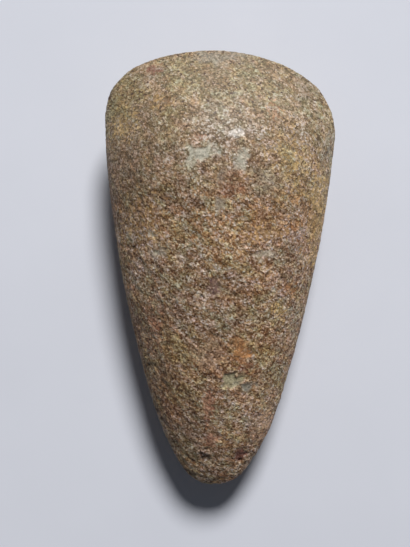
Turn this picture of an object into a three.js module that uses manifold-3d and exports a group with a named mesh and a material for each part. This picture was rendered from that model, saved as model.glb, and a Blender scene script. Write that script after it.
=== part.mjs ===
// Polished stone axe head, lying on its belly: one solid of hard stone, pecked and then ground smooth.
// Millimetres. +Z is up, +Y runs from the butt to the cutting edge.
// The origin is under the middle of the bounding box, on the surface that the head lies on.
import * as THREE from "three";
import { mergeVertices } from "three/addons/utils/BufferGeometryUtils.js";
import Module from "manifold-3d";

const { degToRad, lerp, smoothstep } = THREE.MathUtils;

// The plan outline
const LENGTH = 130.4; // from the tip of the butt to the crown of the cutting edge
const EDGE_RADIUS = 52.5; // the sweep of the cutting edge
const EDGE_OFFSET = -0.6; // the crown of the edge, sideways from the tip of the butt
const BUTT_RADIUS = 11; // the rounded point at the narrow end
const BUTT_TURN = degToRad(37); // how far that round goes on each side before the flanks leave it
// Each flank runs from the butt's round to its widest point, then turns into the edge at a corner.
// The right one bellies out further, as on many hand-ground heads. The pulls are how long a flank
// keeps its first and its last direction.
const LEFT = { side: -1, halfWidth: 31.7, cornerRadius: 15.5, buttPull: 17.6, widePull: 31 };
const RIGHT = { side: 1, halfWidth: 36.3, cornerRadius: 20.3, buttPull: 23, widePull: 5.8 };

// The side profile: a body that swells from the butt, and a blade that thins to the edge.
const THICKNESS = 36;
const BODY_SWELL = 120; // the body would reach its full thickness this far from the butt
const BODY_ROUND = 0.65; // 0.5 is an ellipse, and more is leaner
const BLADE_LENGTH = 28; // the blade would be as thick as the body this far from the edge
const BLADE_ROUND = 0.9; // 1 is a straight wedge, and less is a blunter edge
const SHOULDER = 4; // how tightly the body turns into the blade
// Each cross-section falls from its middle to its rims as (1 - u squared) ^ round.
const BUTT_SECTION = 0.55; // nearly an ellipse
const BODY_SECTION = 0.62;
const BLADE_SECTION = 1; // a lens, so that the edge is sharp along its whole arc
const BUTT_END = 60; // where the butt's section has become the body's
const BLADE_START = 92; // where the body's section starts to become the blade's
const BLADE_FULL = 122;

// How it lies
const REST_TILT = degToRad(4); // the cutting edge is higher than the butt
const REST_FLAT_DEPTH = 0.5; // ground off the belly, so that the head doesn't roll

// Facets
const STATIONS = 72; // cross-sections from the butt to the edge
const SECTION_STEPS = 22; // facets across each face
const OUTLINE_STEPS = 400; // points along a flank when its width is looked up

const STONE_COLOUR = 0x8a7763;

// A flank's corner arc: it touches the widest line outside and the cutting edge's arc inside.
function cornerOf(flank) {
  const edgeY = LENGTH - EDGE_RADIUS;
  const x = flank.side * (flank.halfWidth - flank.cornerRadius);
  const y = edgeY + Math.sqrt((EDGE_RADIUS - flank.cornerRadius) ** 2 - (x - EDGE_OFFSET) ** 2);
  return { x, y, angle: Math.atan2(y - edgeY, x - EDGE_OFFSET) };
}

// Where a flank leaves the butt's round, and the direction that it takes there.
function buttEndOf(flank) {
  return {
    point: new THREE.Vector2(
      flank.side * BUTT_RADIUS * Math.sin(BUTT_TURN),
      BUTT_RADIUS * (1 - Math.cos(BUTT_TURN)),
    ),
    direction: new THREE.Vector2(flank.side * Math.cos(BUTT_TURN), Math.sin(BUTT_TURN)),
  };
}

// One side of the outline, seen from above, from the tip of the butt to the crown of the edge.
function flankPath(flank) {
  const { side, halfWidth, cornerRadius, buttPull, widePull } = flank;
  const corner = cornerOf(flank);
  const butt = buttEndOf(flank);
  const leave = butt.point.clone().addScaledVector(butt.direction, buttPull);
  const down = -Math.PI / 2;
  const outward = side > 0 ? 0 : Math.PI;
  const clockwise = side < 0;
  const path = new THREE.Path();
  path.absarc(0, BUTT_RADIUS, BUTT_RADIUS, down, down + side * BUTT_TURN, clockwise);
  path.bezierCurveTo(
    leave.x,
    leave.y,
    side * halfWidth,
    corner.y - widePull,
    side * halfWidth,
    corner.y,
  );
  path.absarc(corner.x, corner.y, cornerRadius, outward, corner.angle, clockwise);
  path.absarc(EDGE_OFFSET, LENGTH - EDGE_RADIUS, EDGE_RADIUS, corner.angle, -down, clockwise);
  return path;
}

// The x of a flank's outline at a given y, between two of its closely spaced points.
function outlineX(points, y) {
  const after = points.findIndex((point) => point.y >= y);
  if (after < 1) return points[Math.max(0, after)].x;
  const a = points[after - 1];
  const b = points[after];
  return lerp(a.x, b.x, (y - a.y) / (b.y - a.y));
}

// The half thickness along the middle, before it is scaled to the thickness: the thinner of the
// body and the blade, with a rounded shoulder between them.
function rawHalfThickness(y) {
  const body = (1 - (1 - Math.min(y / BODY_SWELL, 1)) ** 2) ** BODY_ROUND;
  const blade = ((LENGTH - y) / BLADE_LENGTH) ** BLADE_ROUND;
  return (body ** -SHOULDER + blade ** -SHOULDER) ** (-1 / SHOULDER);
}

// The roundness of the cross-section at y.
function sectionRound(y) {
  const body = lerp(BUTT_SECTION, BODY_SECTION, smoothstep(y, 0, BUTT_END));
  return lerp(body, BLADE_SECTION, smoothstep(y, BLADE_START, BLADE_FULL));
}

// The ground form before it is laid down: cross-sections from the butt to the edge. Each one runs
// from its right rim over the upper face to its left rim, and back under the lower face.
function lensGeometry() {
  const rightPath = flankPath(RIGHT);
  const leftPoints = flankPath(LEFT).getSpacedPoints(OUTLINE_STEPS);
  const stations = rightPath.getSpacedPoints(STATIONS).slice(1, -1);
  const raw = stations.map((point) => rawHalfThickness(point.y));
  const scale = THICKNESS / 2 / Math.max(...raw);
  const perRing = 2 * SECTION_STEPS;
  const positions = [];
  const triangles = [];
  const addPoint = (x, y, z) => positions.push(x, y, z) / 3 - 1;

  const rings = stations.map((point, i) => {
    const left = outlineX(leftPoints, point.y);
    const middle = (point.x + left) / 2;
    const halfWidth = (point.x - left) / 2;
    const round = sectionRound(point.y);
    const ring = [];
    for (let step = 0; step < perRing; step++) {
      const angle = (step / SECTION_STEPS) * Math.PI;
      const fall = Math.abs(Math.sin(angle)) ** (2 * round);
      const z = Math.sign(SECTION_STEPS - step) * raw[i] * scale * fall;
      ring.push(addPoint(middle + halfWidth * Math.cos(angle), point.y, z));
    }
    return ring;
  });

  const tip = addPoint(0, 0, 0);
  const crown = addPoint(EDGE_OFFSET, LENGTH, 0);
  for (let step = 0; step < perRing; step++) {
    const next = (step + 1) % perRing;
    triangles.push(tip, rings[0][step], rings[0][next]);
    triangles.push(crown, rings.at(-1)[next], rings.at(-1)[step]);
    for (let i = 1; i < rings.length; i++) {
      const near = rings[i - 1];
      const far = rings[i];
      triangles.push(near[step], far[step], far[next]);
      triangles.push(near[step], far[next], near[next]);
    }
  }
  const geometry = new THREE.BufferGeometry();
  geometry.setAttribute("position", new THREE.Float32BufferAttribute(positions, 3));
  geometry.setIndex(triangles);
  return geometry;
}

const wasm = await Module();
wasm.setup();

function toSolid(geometry) {
  const bare = geometry.clone();
  bare.deleteAttribute("normal");
  bare.deleteAttribute("uv");
  const merged = mergeVertices(bare);
  return new wasm.Manifold(
    new wasm.Mesh({
      numProp: 3,
      vertProperties: merged.attributes.position.array,
      triVerts: new Uint32Array(merged.index.array),
    }),
  );
}

function toGeometry(solid) {
  const mesh = solid.getMesh();
  const geometry = new THREE.BufferGeometry();
  geometry.setAttribute("position", new THREE.BufferAttribute(mesh.vertProperties, mesh.numProp));
  geometry.setIndex(new THREE.BufferAttribute(mesh.triVerts, 1));
  geometry.computeVertexNormals();
  return geometry;
}

// Tilt the lens, sink its belly a little below the ground and cut off what is under the ground.
function axeHeadGeometry() {
  const lens = lensGeometry().rotateX(REST_TILT);
  lens.computeBoundingBox();
  lens.translate(0, 0, -lens.boundingBox.min.z - REST_FLAT_DEPTH);
  const ground = new THREE.BoxGeometry(LENGTH, 3 * LENGTH, THICKNESS).translate(0, 0, -THICKNESS / 2);
  const head = toGeometry(toSolid(lens).subtract(toSolid(ground)));
  head.computeBoundingBox();
  const middle = head.boundingBox.getCenter(new THREE.Vector3());
  return head.translate(-middle.x, -middle.y, 0);
}

const axeHead = new THREE.Mesh(
  axeHeadGeometry(),
  new THREE.MeshStandardMaterial({ color: STONE_COLOUR, roughness: 0.55, metalness: 0 }),
);
axeHead.name = "axe_head";

const object = new THREE.Group();
object.add(axeHead);

export default object;
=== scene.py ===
# %% [markdown]
# # A polished stone axe head
# The real thing is one piece of hard, speckled stone. Its maker pecked a cobble to shape with a
# hammerstone and then ground it on wet sandstone. The grinding was finished at the blade and left
# rougher towards the butt, which sat hidden in the haft.
#
# This lesson gives a plain solid of the right shape the skin of that stone. Relief that a hand can
# feel is made as mesh. The mineral grains are finer than that, so they are made in the material.

# %% Load the plain solid
import math

import bpy
import numpy as np
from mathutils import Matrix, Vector, noise


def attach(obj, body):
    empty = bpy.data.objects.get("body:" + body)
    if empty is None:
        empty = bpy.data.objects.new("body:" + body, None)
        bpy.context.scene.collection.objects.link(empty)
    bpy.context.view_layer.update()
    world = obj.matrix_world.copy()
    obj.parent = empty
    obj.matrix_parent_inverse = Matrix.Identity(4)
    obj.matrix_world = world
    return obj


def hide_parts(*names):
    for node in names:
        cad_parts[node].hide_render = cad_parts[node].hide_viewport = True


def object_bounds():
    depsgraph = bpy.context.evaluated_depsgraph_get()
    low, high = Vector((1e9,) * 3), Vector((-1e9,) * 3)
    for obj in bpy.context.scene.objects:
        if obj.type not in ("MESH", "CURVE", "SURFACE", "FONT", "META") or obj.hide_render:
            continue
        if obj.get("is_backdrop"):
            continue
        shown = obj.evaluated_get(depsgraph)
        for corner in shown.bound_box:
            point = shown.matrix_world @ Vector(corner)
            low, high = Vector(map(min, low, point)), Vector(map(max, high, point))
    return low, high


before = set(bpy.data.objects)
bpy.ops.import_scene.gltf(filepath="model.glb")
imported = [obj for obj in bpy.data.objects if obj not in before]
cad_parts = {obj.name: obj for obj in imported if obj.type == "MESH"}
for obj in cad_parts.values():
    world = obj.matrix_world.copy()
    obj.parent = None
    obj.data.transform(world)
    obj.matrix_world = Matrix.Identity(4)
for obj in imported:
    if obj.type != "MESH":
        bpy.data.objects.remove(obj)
cad_low, cad_high = (Vector(corner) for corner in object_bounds())

MM = 0.001  # the scene is in metres
size = cad_high - cad_low
middle = (cad_low + cad_high) / 2
print("solid, mm:", [round(side / MM, 1) for side in size])

# %% [markdown]
# ## A fine mesh
# The solid has flat facets a few millimetres wide, and sculpted relief needs small, even faces.
# Subdividing the facets would keep their long thin triangles. A voxel remesh lays a new skin of
# equal squares over the form instead. Some smoothing then rubs down what is left of the facets, as
# the grinding did on the stone. It takes the sharpness off the cutting edge too, which on an old
# axe is blunt anyway.

# %% Copy the solid
stone = bpy.data.objects.new("ground_stone_head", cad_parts["axe_head"].data.copy())
bpy.context.collection.objects.link(stone)
stone.data.materials.clear()
print("faces on the solid:", len(stone.data.polygons))

# %% Remesh and smooth
SQUARE = 0.49 * MM  # fine enough for the relief, and it keeps the mesh under 200,000 triangles
SMOOTH_STEPS = 10

remesh = stone.modifiers.new("even squares", "REMESH")
remesh.mode = "VOXEL"
remesh.voxel_size = SQUARE
rub = stone.modifiers.new("rub the facets down", "SMOOTH")
rub.iterations = SMOOTH_STEPS
graph = bpy.context.evaluated_depsgraph_get()
fine = bpy.data.meshes.new_from_object(stone.evaluated_get(graph))
stone.modifiers.clear()
stone.data = fine
fine.materials.clear()
triangles = sum(len(face.vertices) - 2 for face in fine.polygons)
print("fine mesh:", len(fine.vertices), "points,", triangles, "triangles")

# %% [markdown]
# ## Where each point lies
# Hand work isn't even, so the finish has to know where it is. Blender can give a whole mesh to
# numpy as arrays, which is much quicker than asking for one point at a time. From here the arrays
# are in millimetres, and `across` and `along` run from -1 to 1 over the width and the length.

# %% Read the points
count = len(fine.vertices)
points = np.empty(count * 3)
normals = np.empty(count * 3)
fine.vertices.foreach_get("co", points)
fine.vertices.foreach_get("normal", normals)
points = points.reshape(-1, 3) / MM
normals = normals.reshape(-1, 3)
half_width = size.x / 2 / MM
half_length = size.y / 2 / MM
across = (points[:, 0] - middle.x / MM) / half_width
along = (points[:, 1] - middle.y / MM) / half_length
print("across:", across.min().round(2), "to", across.max().round(2))
print("along:", along.min().round(2), "to", along.max().round(2))

# %% [markdown]
# ## How well each point was ground
# The slab took the pecking off the blade first, and its crown most of all. `polish` is 0 on the
# butt half and grows to 1 at the edge, and `shine` is 1 on the crown. Such masks can be painted by
# hand. Here they are formulas with judged places, so that they are easy to shift.

# %% Grade the polish
def smoothstep(low, high, value):
    """0 below the low end and 1 above the high end, with a soft S between them."""
    t = np.clip((value - low) / (high - low), 0, 1)
    return t * t * (3 - 2 * t)


def bell(value, centre, reach):
    """1 at the centre, falling off on both sides over about that reach."""
    return np.exp(-(((value - centre) / reach) ** 2))


POLISH_START, POLISH_FULL = 0.1, 0.95  # along
CROWN, CROWN_WIDE, CROWN_LONG = 0.61, 0.3, 0.12  # along, and its reach across and along

polish = smoothstep(POLISH_START, POLISH_FULL, along)
# shine also places the painted highlight on the crown's bright crystals, further down
shine = bell(across, 0, CROWN_WIDE) * bell(along, CROWN, CROWN_LONG)
print("polished points:", int((polish > 0.5).sum()), "shiny:", int((shine > 0.5).sum()))

# %% [markdown]
# Over the years a thin warm grey film has formed along the blade's edge and underneath. The same
# mask holds painted shade: the blade's shoulders are darker, as a rounder form would be shaded, and
# the left flank of the butt half is darker too. The rest has a trace of painted shade, apart from a
# band about the middle and the right flank, which are left lighter as painted light from the lamp.

# %% Grade the film and the painted shade
EDGE_FILM, UNDER_FILM, LEFT_FLANK_DARKER, BODY_SHADE = 0.5, 0.6, 0.8, 0.27
RIGHT_LIT = 0.85  # the share of the shoulders' painted shade left off the right flank, as painted light from the lamp's side
SHOULDER, SHOULDER_LONG = 0.5, 0.32  # along, and its reach
LIT_BAND, LIT_BAND_LONG = 0.04, 0.2  # the same for the middle band, which is painted lighter as if it faced the lamp more

# A smoothstep over a part of a normal goes by how steeply the surface is turned that way.
left_side = smoothstep(0.05, 0.6, -normals[:, 0])
right_side = smoothstep(0.0, 0.6, normals[:, 0])
underside = smoothstep(0.45, 0.05, normals[:, 2])
# painted shade on the blade's shoulders, for a rounder form than the mesh; left off the right flank as
# painted light
shoulder = smoothstep(0.2, 0.9, np.abs(across)) * bell(along, SHOULDER, SHOULDER_LONG)
film_and_shade = shoulder * (1 - RIGHT_LIT * right_side)
film_and_shade += EDGE_FILM * smoothstep(0.6, 1.0, along)
film_and_shade += UNDER_FILM * underside
# the left flank of the butt half is made darker
film_and_shade += LEFT_FLANK_DARKER * left_side * smoothstep(0.3, -0.4, along)
# painted shade over the body, left off the middle band and the right flank, which are thus painted lighter
film_and_shade += BODY_SHADE * (1 - bell(along, LIT_BAND, LIT_BAND_LONG)) * (1 - right_side)
film_and_shade = np.clip(film_and_shade, 0, 1)
print("film, on average:", film_and_shade.mean().round(2))

# %% [markdown]
# ## Relief from the hammerstone and the slab
# Pecking leaves overlapping shallow dimples. They are the cells of a Voronoi pattern, each a small
# bowl round its own centre. Soft noise adds the unevenness of hand work, stretched noise the
# strokes on the slab, and a few deep pits are grains that were torn out. A sculptor could brush all
# this on by hand, but a formula gives the same stone on every run.

# %% Noise helpers
LUMP_SHIFT = (31.7, 17.3, 7.9)  # each seed reads the noise this much further on, in lumps
BOWL_SHIFT = (13.1, 29.3, 3.7)  # the same for the bowls, in spacings
CELL_SPREAD = 57.3  # parts neighbouring cells, so that their random numbers aren't alike
FALL, FINER = 1.0, 2.0  # each octave is half as tall as the last one, and twice as fine


def lumps(grain, octaves=2, seed=0, places=points):
    """Soft noise in about -1..1 at every place, with lumps of that many millimetres."""
    shift = Vector([seed * part for part in LUMP_SHIFT])
    return np.array(
        [noise.fractal(Vector(p) / grain + shift, FALL, FINER, octaves) for p in places]
    )


def bowls(spacing, seed=0):
    """The distance to the nearest cell centre in spacings, and a random number for that cell."""
    shift = Vector([seed * part for part in BOWL_SHIFT])
    distance = np.empty(count)
    chance = np.empty(count)
    for i, p in enumerate(points):
        near, centres = noise.voronoi(Vector(p) / spacing + shift)
        distance[i] = near[0]
        chance[i] = noise.cell(centres[0] * CELL_SPREAD + shift) % 1.0
    return distance, chance


print("noise at three points:", lumps(5, places=points[:3]).round(2))

# %% [markdown]
# All but the long waves are multiplied by `rough`. Grinding left the blade only a small share of
# the pecking. The flanks keep less of it than the faces, apart from the end of the butt, which was
# hammered all round.

# %% How rough each point is
GROUND_LEFT = 0.16  # the share of the pecking that is left at the edge
FLANK_LEFT = 0.4  # and on the flanks
BUTT_END, FLANKS_START = -0.8, -0.45  # along: all hammered up to the first, ground from the second

faces = smoothstep(0.0, 0.6, np.abs(normals[:, 2]))
flattened = (1 - faces) * smoothstep(BUTT_END, FLANKS_START, along)
rough = (1 - (1 - GROUND_LEFT) * polish) * (1 - (1 - FLANK_LEFT) * flattened)
print("rough: from", rough.min().round(2), "to", rough.max().round(2))

# %% Dimples and pits
PECK_SIZE, PECK_REACH = 2.0, 0.62  # mm between dimples, and their radius as a share of that
PIT_SIZE = 3.4  # mm between places where a grain could be torn out
PIT_SHARE = 0.65  # the share of them where one was
PIT_SMALL, PIT_LARGE = 0.05, 0.25  # the radius of a pit, as a share of PIT_SIZE

distance, chance = bowls(PECK_SIZE, seed=1)
peck = np.clip(1 - distance / PECK_REACH, 0, 1) * chance
distance, chance = bowls(PIT_SIZE, seed=2)
pit_radius = PIT_SMALL + (PIT_LARGE - PIT_SMALL) * chance
pit = smoothstep(1.0, 0.3, distance / pit_radius) * (chance > 1 - PIT_SHARE)
print("points in a pit:", int((pit > 0.5).sum()))

# %% Strokes of the slab
STROKE_WIDTH, STROKE_LENGTH = 1.2, 4.5  # mm
STROKE_TURN = math.radians(-40)  # the way the strokes run, turned from straight across

run = np.array((math.cos(STROKE_TURN), math.sin(STROKE_TURN), 0.0))
squeezed = points - np.outer(points @ run, run) * (1 - STROKE_WIDTH / STROKE_LENGTH)
strokes = lumps(STROKE_WIDTH, seed=7, places=squeezed)
print("strokes:", strokes.min().round(2), "to", strokes.max().round(2))

# %% Add up the relief
WAVE_SIZE, WAVE_DEPTH = 24, 0.22  # all sizes and depths in mm
LUMP_SIZE, LUMP_DEPTH = 5.5, 0.16
CRUMB_SIZE, CRUMB_DEPTH = 1.0, 0.14
PECK_DEPTH, STROKE_DEPTH, PIT_DEPTH = 0.27, 0.18, 0.42

height = WAVE_DEPTH * lumps(WAVE_SIZE, seed=3)
height += LUMP_DEPTH * rough * lumps(LUMP_SIZE, seed=4)
height -= PECK_DEPTH * rough * peck
height += CRUMB_DEPTH * rough * lumps(CRUMB_SIZE, 3, seed=5)
height += STROKE_DEPTH * rough * strokes
height -= PIT_DEPTH * rough * pit
print("relief, mm:", height.min().round(2), "to", height.max().round(2))

# %% [markdown]
# ## Marks that tell one axe from another
# The upper face has marks of its own: two pale patches and a white crystal on the blade, a flake
# scar near the butt, rust and ochre where iron weathered out, and dull flecks and clouds. Each is
# an ellipse with a crumbled rim. They could be painted in an image, but colours kept on the points
# need no unwrapping and follow the mesh.

# %% Colours of the marks
PALE, WHITE, OLIVE, GREY, TAN = "#bdb8a2", "#ebe5d9", "#aca37e", "#8a887a", "#cba783"
GOLD, OCHRE, ORANGE, ROSE = "#d3b070", "#b48f4a", "#c58850", "#ba7f68"
RED, MAROON, BROWN, PURPLE = "#7c4632", "#6b3426", "#644a3c", "#755c60"


def linear(code):
    """An sRGB hex colour as the linear numbers that shaders work in, by the curve of sRGB."""
    parts = [int(code[i : i + 2], 16) / 255 for i in (1, 3, 5)]
    return [p / 12.92 if p <= 0.04045 else ((p + 0.055) / 1.055) ** 2.4 for p in parts] + [1.0]


print("pale:", [round(part, 3) for part in linear(PALE)])

# %% List the marks
# name, place across and along, half width and half length in mm, colour, cover, depth in mm
MARKS = [
    ("iron-rich band", 0.20, 0.22, 22.0, 8.0, ORANGE, 0.15, 0.0),
    ("pale patch, left", -0.15, 0.50, 4.2, 2.3, PALE, 1.0, 0.0),
    ("heart of the left patch", -0.14, 0.505, 3.4, 2.0, PALE, 1.0, 0.0),
    ("tail of the left patch", -0.24, 0.46, 2.4, 1.4, PALE, 0.6, 0.0),
    ("pale patch, right", 0.17, 0.49, 1.7, 3.3, PALE, 0.85, 0.0),
    ("foot of the right patch", 0.12, 0.45, 1.4, 1.5, PALE, 0.6, 0.0),
    ("white crystal", 0.11, 0.59, 2.6, 1.4, WHITE, 0.52, 0.0),
    ("flake scar", 0.10, -0.49, 3.8, 2.2, OLIVE, 0.95, 0.25),
    ("grey floor of the scar", 0.185, -0.515, 2.6, 1.5, GREY, 0.9, 0.0),
    ("red fleck at the butt", 0.15, -0.84, 2.0, 2.1, MAROON, 0.85, 0.15),
    ("red fleck at the blade", -0.56, 0.90, 2.3, 1.9, MAROON, 0.65, 0.0),
    ("ochre pit", -0.45, 0.75, 1.5, 1.4, BROWN, 0.9, 0.3),
    ("ochre round the pit", -0.49, 0.75, 3.0, 2.0, OCHRE, 0.3, 0.0),
    ("brown cloud under the patches", 0.09, 0.36, 4.0, 4.2, RED, 0.4, 0.0),
    ("brown fleck", 0.29, 0.46, 2.2, 1.6, BROWN, 0.35, 0.0),
    ("brown fleck below it", 0.32, 0.24, 2.0, 1.4, BROWN, 0.35, 0.0),
    ("golden cloud on the shoulder", 0.60, 0.44, 8.0, 13.0, GOLD, 0.24, 0.0),
    ("grey strip on the flank", 0.93, 0.53, 1.4, 4.2, GREY, 0.4, 0.0),
    # golden, and painted light too: the right flank is made lighter and warmer as if the lamp fell on it
    # more
    ("golden flank, painted light", 0.84, 0.24, 5.0, 15.0, GOLD, 0.5, 0.0),
    ("pale cloud by the brown fleck", 0.37, 0.38, 4.5, 3.5, PALE, 0.35, 0.0),
    ("red cloud on the flank", 0.70, 0.26, 2.6, 2.6, RED, 0.4, 0.0),
    ("orange fleck", 0.61, 0.31, 2.2, 1.8, ORANGE, 0.5, 0.0),
    ("orange fleck below it", 0.62, 0.20, 2.8, 1.8, ORANGE, 0.5, 0.0),
    ("golden band", 0.33, 0.16, 8.0, 2.8, GOLD, 0.36, 0.0),
    ("golden cloud, left", -0.68, 0.22, 7.0, 7.0, OCHRE, 0.22, 0.0),
    ("golden cloud at the corner", -0.82, 0.66, 4.0, 5.0, GOLD, 0.3, 0.0),
    ("grey fleck", 0.0, 0.28, 1.6, 1.5, GREY, 0.7, 0.0),
    ("grey fleck between the patches", 0.0, 0.41, 1.2, 1.7, GREY, 0.6, 0.0),
    ("pale fleck by the edge", 0.16, 0.77, 1.6, 1.2, PALE, 0.45, 0.0),
    ("pale fleck, far left", -0.53, 0.08, 2.6, 1.6, PALE, 0.45, 0.0),
    ("pale fleck, left", -0.32, 0.06, 2.2, 1.5, PALE, 0.35, 0.0),
    ("pale fleck, right", 0.35, 0.07, 3.0, 1.3, PALE, 0.5, 0.0),
    ("purple cloud", -0.07, -0.08, 2.5, 3.2, PURPLE, 0.5, 0.0),
    ("rust on the flank", 0.60, -0.08, 1.8, 2.6, ORANGE, 0.4, 0.0),
    ("golden fleck on the flank", 0.48, -0.17, 3.0, 2.4, GOLD, 0.4, 0.0),
    ("rosy cloud, left", -0.56, -0.22, 3.0, 8.0, ROSE, 0.22, 0.0),
    ("orange above the scar", 0.15, -0.36, 3.6, 3.2, ORANGE, 0.68, 0.0),
    ("red above the scar", 0.20, -0.43, 3.2, 2.4, RED, 0.5, 0.0),
    ("tan cloud by the scar", -0.13, -0.37, 5.0, 5.0, TAN, 0.4, 0.0),
    ("brown cloud above the scar", 0.12, -0.24, 4.5, 5.0, BROWN, 0.22, 0.0),
    ("cleft at the butt", -0.17, -0.86, 2.2, 1.5, BROWN, 0.5, 0.3),
    ("rosy streak", -0.12, -0.60, 1.6, 6.0, ROSE, 0.45, 0.0),
    ("rosy cloud", -0.09, -0.76, 2.2, 3.0, ROSE, 0.42, 0.0),
    ("rosy cloud over the patch", -0.16, 0.56, 2.6, 1.8, ROSE, 0.22, 0.0),
    ("rosy cloud by the edge", 0.46, 0.70, 2.4, 3.4, ROSE, 0.22, 0.0),
    ("rusty cloud by the edge", 0.76, 0.60, 2.6, 3.4, BROWN, 0.3, 0.0),
    ("tan cloud, right of the butt", 0.36, -0.70, 3.6, 6.0, TAN, 0.45, 0.0),
    ("grey cloud on the edge", 0.0, 0.96, 7.5, 2.6, GREY, 0.45, 0.0),
]
print(len(MARKS), "marks,", sum(mark[-1] > 0 for mark in MARKS), "of them sunk")

# %% [markdown]
# Each mark is laid over the ones before it, as thin washes of paint would be. A rim of noise keeps
# it from looking like an ellipse, and the four sunk ones also take a little stone away.

# %% Lay on the marks
RIM_LUMP = 2.4  # mm, the size of the bays in a mark's rim
RIM_WANDER = 0.8  # how far the rim wanders, as a share of the mark's radius
RIM_OUT, RIM_IN = 1.3, 0.5  # a mark starts at the first radius and is full inside the second
SINK_FROM, SINK_FULL = 0.3, 0.7  # how full a mark is where it starts to sink, and where it has
TINY = 1e-6  # keeps a share from being divided by nothing

ragged = lumps(RIM_LUMP, 3, seed=6)
upper_face = normals[:, 2] > 0
stain = np.zeros((count, 4))  # red, green, blue and cover
for name, mark_across, mark_along, wide, long, colour, cover, depth in MARKS:
    gap_across = (across - mark_across) * half_width / wide
    gap_along = (along - mark_along) * half_length / long
    radius = np.hypot(gap_across, gap_along) + RIM_WANDER * ragged
    inside = smoothstep(RIM_OUT, RIM_IN, radius) * upper_face
    height -= depth * smoothstep(SINK_FROM, SINK_FULL, inside)
    weight = (inside * cover)[:, None]
    share = weight / np.maximum(stain[:, 3:] + weight, TINY)
    stain[:, :3] += (np.array(linear(colour)[:3]) - stain[:, :3]) * share
    stain[:, 3:] = np.maximum(stain[:, 3:], weight)
print("stained points:", int((stain[:, 3] > 0.1).sum()))

# %% [markdown]
# ## Write the relief back
# Every point moves along its normal. What the smoothing took off the blade and the tip is given back
# too, but not between them, where the form is round and lost hardly anything. The head rests on a
# small flat on its belly, so the relief fades out just above the table, and no point may end below
# it. A Displace modifier would need an extra group for that, and the numbers are here already.

# %% Move the points
FLAT_MARGIN = 1.2  # mm over which the relief comes in above the table
PROUD = 0.3  # mm that the smoothing took off the thin rim of the blade and the tip of the butt
ROUND_TO, BLADE_FROM = -0.35, 0.1  # along: none is given back up to the first, all from the second
TIP_FROM, TIP = -0.85, -1.0  # the same at the tip

lift = smoothstep(0.0, FLAT_MARGIN, points[:, 2])
proud = PROUD * (smoothstep(ROUND_TO, BLADE_FROM, along) + smoothstep(TIP_FROM, TIP, along))
moved = points + normals * ((height + proud) * lift)[:, None]
moved[:, 2] = np.maximum(moved[:, 2], 0)
fine.vertices.foreach_set("co", (moved * MM).ravel())
fine.shade_smooth()
fine.update()
print("lowest and highest point, mm:", moved[:, 2].min().round(2), moved[:, 2].max().round(2))

# %% [markdown]
# The finish is kept on the points as named attributes. A material can read those anywhere, and they
# stay with the mesh.

# %% Keep the finish on the points
for name, values in {"polish": polish, "shine": shine, "film_and_shade": film_and_shade, "pit": pit}.items():
    layer = fine.attributes.new(name, "FLOAT", "POINT")
    layer.data.foreach_set("value", values.astype(np.float32))
layer = fine.attributes.new("stain", "FLOAT_COLOR", "POINT")
layer.data.foreach_set("color", stain.astype(np.float32).ravel())
print("attributes:", [layer.name for layer in fine.attributes])

# %% [markdown]
# ## Tools for materials
# A material is a tree of nodes. One small function adds a node, sets what is free on it and links
# what is fed, so that each line below reads as one step of the recipe. Sockets go by name, or by
# number where a node has several of one name.

# %% Material helpers
def add(tree, kind, values=None, links=None, stops=(), **settings):
    """Adds a node: settings are its properties, values its free sockets, links its fed ones.

    A colour ramp also takes its stops, as pairs of a position and a colour.
    """
    made = tree.nodes.new(kind)
    for name, value in settings.items():
        setattr(made, name, value)
    for socket, value in (values or {}).items():
        made.inputs[socket].default_value = value
    for socket, source in (links or {}).items():
        tree.links.new(source, made.inputs[socket])
    for i, (position, colour) in enumerate(stops):
        elements = made.color_ramp.elements
        stop = elements[i] if i < len(elements) else elements.new(position)
        stop.position = position
        stop.color = linear(colour)
    return made


def new_material(name):
    """An empty material and its tree."""
    made = bpy.data.materials.new(name)
    made.use_nodes = True
    made.node_tree.nodes.clear()
    return made, made.node_tree


FACTOR, UNDER, OVER, MIXED = 0, 6, 7, 2  # a Mix node's sockets for colours, and what comes out
rock, tree = new_material("ground_dolerite")
print("material:", rock.name)

# %% [markdown]
# ## Ground dolerite
# Dolerite is an igneous rock of interlocked crystals about half a millimetre wide: pale feldspar,
# dark pyroxene, and specks of magnetite that weather to rust. Pecking and grinding cut through
# them, so the eye sees a fine mosaic, crisp where it is polished and gritty where it isn't.
#
# The mosaic is a Voronoi pattern. Its straight cell walls would look like gravel, so its
# coordinates are bent by noise first. They are object coordinates, turned to millimetres, because
# they are solid: the grain runs through the stone and round every side without a seam. The same
# coordinates, combed along the strokes of the slab, serve what the working drew out.

# %% Crystals
GRAIN = 0.58  # mm across
BEND_SIZE, BEND = 0.62, 0.8  # mm
COMB = 1.5  # how much longer than wide a speck or a bit of grit is along the strokes

place = add(tree, "ShaderNodeTexCoord")
in_mm = add(tree, "ShaderNodeVectorMath", {1: (1 / MM,) * 3}, {0: place.outputs["Object"]},
            operation="MULTIPLY").outputs[0]
wobble = add(tree, "ShaderNodeTexNoise", {"Scale": 1 / BEND_SIZE, "Detail": 2}, {"Vector": in_mm})
bent = add(tree, "ShaderNodeVectorMath", {1: (BEND,) * 3}, {0: wobble.outputs["Color"], 2: in_mm},
           operation="MULTIPLY_ADD").outputs[0]
crystals = add(tree, "ShaderNodeTexVoronoi", {"Scale": 1 / GRAIN}, {"Vector": bent})
chances = add(tree, "ShaderNodeSeparateXYZ", links={0: crystals.outputs["Color"]}).outputs
combed = add(tree, "ShaderNodeMapping", {"Rotation": (0, 0, STROKE_TURN), "Scale": (COMB, 1, 1)},
             {"Vector": bent}, vector_type="TEXTURE").outputs[0]
print("crystals across the head:", round(2 * half_width / GRAIN))

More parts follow.
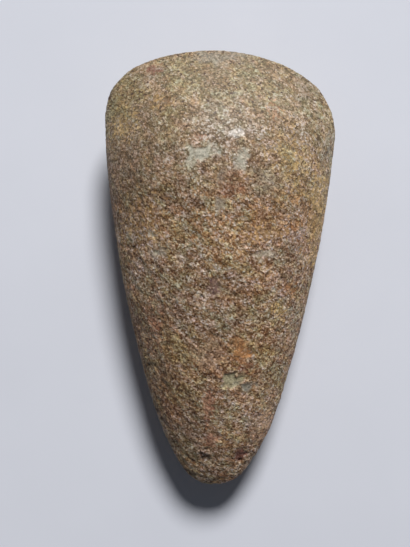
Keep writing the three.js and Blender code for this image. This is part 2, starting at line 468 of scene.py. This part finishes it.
# %% [markdown]
# Each crystal gets three random numbers: how bright, how warm and how rosy it is. Real minerals also
# gather in clusters and clouds, so soft noises of growing size are added to all three at once, as
# the parts of one vector. The start value is chosen so that every sum has its middle at a half.

# %% Scatter the minerals
# name: size in mm, detail, weights in brightness, warmth and rosiness
SWIRLS = {
    "speck": (0.42, 2, (1.6, 0.3, 0.2)),
    "cluster": (2.4, 2, (0.8, 1.1, 2.3)),
    "cloud": (9.0, 3, (0.45, 1.5, 1.9)),
}
CRYSTAL_WEIGHTS = (0.7, 0.8, 0.4)
HALF = 0.5  # the middle of every noise, and of the sums

weight_sum = np.array(CRYSTAL_WEIGHTS) + sum(np.array(weights) for *_, weights in SWIRLS.values())
sums = add(tree, "ShaderNodeVectorMath", {1: CRYSTAL_WEIGHTS, 2: tuple(HALF - HALF * weight_sum)},
           {0: crystals.outputs["Color"]}, operation="MULTIPLY_ADD").outputs[0]
for name, (width, detail, weights) in SWIRLS.items():
    soft = add(tree, "ShaderNodeTexNoise", {"Scale": 1 / width, "Detail": detail},
               {"Vector": combed}, label=name)
    sums = add(tree, "ShaderNodeVectorMath", {1: weights}, {0: soft.outputs["Color"], 2: sums},
               operation="MULTIPLY_ADD").outputs[0]
brightness, warmth, rosiness = add(tree, "ShaderNodeSeparateXYZ", links={0: sums}).outputs
print("weights:", weight_sum.round(2))

# %% [markdown]
# Brightness picks the mineral, from rusty pyroxene to cream feldspar. The two hues then tint it:
# from grey to gold, and from olive to rose. They are kept weak, since weathering has browned the
# whole surface.

# %% Colour the minerals
colour = add(tree, "ShaderNodeValToRGB", links={0: brightness}, stops=[
    (0.0, "#5f3711"),
    (0.25, "#8a673f"),
    (0.5, "#b29472"),
    (0.75, "#d5bba1"),
    (1.0, "#ffecd8"),
]).outputs[0]
HUES = {
    "warm": (warmth, ["#e7f0fb", "#f3f1ec", "#ffefcb"]),
    "rosy": (rosiness, ["#f2fbe9", "#faf7f6", "#feeff2"]),
}
for name, (amount, codes) in HUES.items():
    hue = add(tree, "ShaderNodeValToRGB", links={0: amount}, stops=list(zip((0.0, 0.5, 1.0), codes)))
    colour = add(tree, "ShaderNodeMix", {FACTOR: 1.0}, {UNDER: colour, OVER: hue.outputs[0]},
                 data_type="RGBA", blend_type="MULTIPLY", label=name).outputs[MIXED]
print("nodes so far:", len(tree.nodes))

# %% [markdown]
# Thin coats lie over the minerals. Grinding leaves a greenish slip of rock flour in the pores, which
# evens the colours out a little. Magnetite shows as small brown specks where the stone is polished.
# The film is see-through and carries painted shade, so it multiplies what is under it. On the crown
# of the blade the bright crystals are mixed toward a pale cream, a painted highlight, and torn pits are made
# darker.

# %% Where the coats lie
FLOUR = 0.26  # how far rock flour hides the crystals at the edge
MAGNETITE = 0.04  # the share of the crystals that are magnetite
HIGHLIGHT_SHARE, HIGHLIGHT_FROM = 0.42, 0.4  # how far the painted highlight hides the brightest crystals, and where it starts
PIT_DARK = 0.6  # how far a torn pit is darkened

polished, filmed_and_shaded, shiny, torn = (
    add(tree, "ShaderNodeAttribute", attribute_name=name).outputs["Fac"]
    for name in ("polish", "film_and_shade", "shine", "pit")
)
floury = add(tree, "ShaderNodeMath", {1: FLOUR}, {0: polished}, operation="MULTIPLY").outputs[0]
magnetite = add(tree, "ShaderNodeMath", {1: MAGNETITE}, {0: chances[2]},
                operation="LESS_THAN").outputs[0]
specked = add(tree, "ShaderNodeMath", links={0: magnetite, 1: polished},
              operation="MULTIPLY").outputs[0]
# painted highlight: on the crown the brightest crystals are pushed toward a pale cream
bright = add(tree, "ShaderNodeMapRange", {"From Min": HIGHLIGHT_FROM, "To Max": HIGHLIGHT_SHARE},
             {"Value": brightness}).outputs[0]
crown_highlight = add(tree, "ShaderNodeMath", links={0: shiny, 1: bright}, operation="MULTIPLY").outputs[0]
# torn pits are made darker
darkened_pits = add(tree, "ShaderNodeMath", {1: PIT_DARK}, {0: torn}, operation="MULTIPLY").outputs[0]
print("nodes so far:", len(tree.nodes))

# %% Lay the coats over each other
COATS = {
    "rock flour": (floury, "#798c68", "MIX"),
    # the film and its painted shade, multiplied over the colours
    "film_and_shade": (filmed_and_shaded, "#d5cfc4", "MULTIPLY"),
    "magnetite": (specked, "#4a301c", "MIX"),
    # the painted highlight on the crown
    "painted highlight": (crown_highlight, "#e8dccb", "MIX"),
    "darker pits": (darkened_pits, "#2c1c10", "MIX"),
}
for name, (amount, code, blend) in COATS.items():
    colour = add(tree, "ShaderNodeMix", {OVER: linear(code)}, {FACTOR: amount, UNDER: colour},
                 data_type="RGBA", blend_type=blend, label=name).outputs[MIXED]
print("coats:", ", ".join(COATS))

# %% [markdown]
# The marks come last. A mark's colour still follows the brightness of the crystals under it, and
# the crystals' second number eats into its rim, so that it ends grain by grain.

# %% Stain the marks
CRUMBLE = 0.5  # how much a crystal's own number shifts the rim
COVER_FROM, COVER_TO = 0.36, 1.15  # a mark's cover plus that shift, where it starts and is full
MOST_COVER = 0.9
SHADE, TINT = 0.72, 1.28  # how dark and how bright crystals make a mark's colour

marks = add(tree, "ShaderNodeAttribute", attribute_name="stain")
speckle = add(tree, "ShaderNodeMapRange", {"To Min": SHADE, "To Max": TINT},
              {"Value": brightness}).outputs[0]
speckled = add(tree, "ShaderNodeVectorMath", links={0: marks.outputs["Color"], "Scale": speckle},
               operation="SCALE").outputs[0]
crumbled = add(tree, "ShaderNodeMath", {1: CRUMBLE}, {0: chances[1], 2: marks.outputs["Alpha"]},
               operation="MULTIPLY_ADD").outputs[0]
cover = add(tree, "ShaderNodeMapRange",
            {"From Min": COVER_FROM, "From Max": COVER_TO, "To Max": MOST_COVER},
            {"Value": crumbled}).outputs[0]
colour = add(tree, "ShaderNodeMix", links={FACTOR: cover, UNDER: colour, OVER: speckled},
             data_type="RGBA").outputs[MIXED]
print("marks cover at most", MOST_COVER)

# %% [markdown]
# ## Gloss and grit
# The index of refraction of feldspar is about 1.53, and no part of the rock is a metal. A freshly
# pecked face is as dull as chalk, with a roughness near 0.8. Wet grinding brings the blade down to
# a satin that only shows a wide soft glow, a little tighter on the crown. A trace of sheen stands
# for dust and broken grains, which lighten stone that is seen at a slant.

# %% Gloss
DULL, SATIN, SHINE_GAIN = 0.8, 0.56, 0.26
FELDSPAR_IOR = 1.53
DUST = 0.08

gloss = add(tree, "ShaderNodeMapRange", {"To Min": DULL, "To Max": SATIN},
            {"Value": polished}).outputs[0]
gloss = add(tree, "ShaderNodeMath", {1: -SHINE_GAIN}, {0: shiny, 2: gloss},
            operation="MULTIPLY_ADD").outputs[0]
skin = add(tree, "ShaderNodeBsdfPrincipled", {"IOR": FELDSPAR_IOR, "Sheen Weight": DUST},
           {"Base Color": colour, "Roughness": gloss})
print("roughness:", DULL, "to", round(SATIN - SHINE_GAIN, 2))

# %% [markdown]
# Grit between the crystals is finer than the mesh, so it is a bump. Its real grains of 0.1 mm and
# less wouldn't show from arm's length, so it is drawn 0.9 mm wide. Grinding wears it down towards
# the edge, but not before it has taken off the pecking. A mark is one large crystal or a filled
# hollow, so there is less grit where it covers the mosaic.

# %% Grit
GRIT_SIZE = 0.9  # mm
GRIT_SHARP = 0.65  # how strong its finest grains are against its largest
GRIT_BUTT, GRIT_BLADE = 0.82, 0.24  # mm deep
GRIT_KEPT = 0.25  # the polish up to which the grit keeps its full depth
CRYSTAL_STEP = 0.15  # bright crystals are the hard ones, and stand this share of the grit prouder
CALM = 0.25  # the share of the grit that is left in the heart of a mark

grit = add(tree, "ShaderNodeTexNoise", {"Scale": 1 / GRIT_SIZE, "Detail": 3, "Roughness": GRIT_SHARP},
           {"Vector": combed}).outputs[0]
stepped = add(tree, "ShaderNodeMath", {1: CRYSTAL_STEP}, {0: chances[0], 2: grit},
              operation="MULTIPLY_ADD").outputs[0]
depth = add(tree, "ShaderNodeMapRange",
            {"From Min": GRIT_KEPT, "To Min": GRIT_BUTT, "To Max": GRIT_BLADE},
            {"Value": polished}).outputs[0]
calm = add(tree, "ShaderNodeMapRange", {"To Min": 1.0, "To Max": CALM}, {"Value": cover}).outputs[0]
depth = add(tree, "ShaderNodeMath", links={0: depth, 1: calm}, operation="MULTIPLY").outputs[0]
tall = add(tree, "ShaderNodeMath", links={0: stepped, 1: depth}, operation="MULTIPLY").outputs[0]
bump = add(tree, "ShaderNodeBump", {"Strength": 1.0, "Distance": MM}, {"Height": tall})
tree.links.new(bump.outputs[0], skin.inputs["Normal"])
add(tree, "ShaderNodeOutputMaterial", links={0: skin.outputs[0]})
fine.materials.append(rock)
print("the stone's nodes:", len(tree.nodes))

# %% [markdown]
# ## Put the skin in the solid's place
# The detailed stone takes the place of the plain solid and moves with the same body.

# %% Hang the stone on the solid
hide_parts("axe_head")
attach(stone, "root")
print(stone.name, "replaces the solid")

# %% [markdown]
# ## The table
# The axe lies on matt white board: pressed paper with no gloss, so it shows the soft shadow and
# nothing else. A plane is enough for it. The fibres of real board gather in faint clouds of a few
# millimetres. They are drawn larger, so that they show, and differ by a hair only.

# %% Floor
FLOOR_SIDE = 4.0  # m
MOTTLE = 55 * MM
BOARD_ROUGHNESS = 0.85  # pressed paper has no gloss
CLOUDS = [(0.3, "#dadce1"), (0.7, "#dee0e5")]  # two whites that differ by a hair

bpy.ops.mesh.primitive_plane_add(size=FLOOR_SIDE, location=(middle.x, middle.y, 0))
floor = bpy.context.object
floor.name = "floor"
board, tree = new_material("matt_white_board")
place = add(tree, "ShaderNodeTexCoord")
mottle = add(tree, "ShaderNodeTexNoise", {"Scale": 1 / MOTTLE, "Detail": 3},
             {"Vector": place.outputs["Object"]})
tone = add(tree, "ShaderNodeValToRGB", links={0: mottle.outputs[0]}, stops=CLOUDS)
matt = add(tree, "ShaderNodeBsdfPrincipled", {"Roughness": BOARD_ROUGHNESS}, {"Base Color": tone.outputs[0]})
add(tree, "ShaderNodeOutputMaterial", links={0: matt.outputs[0]})
floor.data.materials.append(board)
floor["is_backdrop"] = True
print("floor:", FLOOR_SIDE, "m wide")

# %% [markdown]
# ## Light
# One broad soft lamp stands beyond the blade, a little to the right, like a window. Its light grazes
# the pecked surface and brings the relief out. A sun lamp would be simpler, but its shadow has the
# same rim everywhere. The disk's width softens the shadow more the further it falls, and a faint
# cool world fills it.

# %% Lamp
KEY_RISE, KEY_TURN = math.radians(43.5), math.radians(12)
KEY_DISTANCE, KEY_WIDTH = 2.4, 0.78  # m
KEY_POWER = 70  # W

lamp = bpy.data.lights.new("window", "AREA")
lamp.shape = "DISK"
lamp.size = KEY_WIDTH
lamp.energy = KEY_POWER
lamp.color = linear("#fbfbff")[:3]
window = bpy.data.objects.new("window", lamp)
bpy.context.collection.objects.link(window)
way = Vector((
    math.sin(KEY_TURN) * math.cos(KEY_RISE),
    math.cos(KEY_TURN) * math.cos(KEY_RISE),
    math.sin(KEY_RISE),
))
window.location = Vector((middle.x, middle.y, 0)) + way * KEY_DISTANCE
window.rotation_euler = way.to_track_quat("Z", "Y").to_euler()
print("lamp at, m:", [round(v, 2) for v in window.location])

# %% World
FILL = 0.08

world = bpy.data.worlds.new("room")
world.use_nodes = True
background = world.node_tree.nodes["Background"]
background.inputs["Color"].default_value = linear("#dde6f9")
background.inputs["Strength"].default_value = FILL
bpy.context.scene.world = world
bpy.context.scene.view_settings.view_transform = "Standard"
print("fill:", FILL)

# %% [markdown]
# ## Camera
# The axe is seen from straight above, as for a catalogue. The lens follows from how high the camera
# stands and how much of the floor it should take in.

# %% Camera
CAMERA_HEIGHT = 0.286  # m
FLOOR_SEEN = 0.1738  # m of floor along the long side of the view
CAMERA_SHIFT = Vector((-0.0048, -0.0008, 0))  # the axe lies a little off the middle
CAMERA_ROLL = math.radians(-0.45)  # and a little askew

lens = bpy.data.cameras.new("camera")
lens.lens = lens.sensor_width * CAMERA_HEIGHT / FLOOR_SEEN
camera = bpy.data.objects.new("camera", lens)
camera.location = Vector((middle.x, middle.y, CAMERA_HEIGHT)) + CAMERA_SHIFT
camera.rotation_euler = (0, 0, CAMERA_ROLL)
bpy.context.collection.objects.link(camera)
bpy.context.scene.camera = camera
print("lens, mm:", round(lens.lens, 1))

# %% [markdown]
# ## The size
# The skin must not make the axe bigger than its solid, so both boxes are printed.

# %% Measure and finish
look_low, look_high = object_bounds()
boxes = {"cad": [list(cad_low), list(cad_high)], "visual": [list(look_low), list(look_high)]}
for name, corners in boxes.items():
    print(name, "box, mm:", [[round(v / MM, 2) for v in corner] for corner in corners])
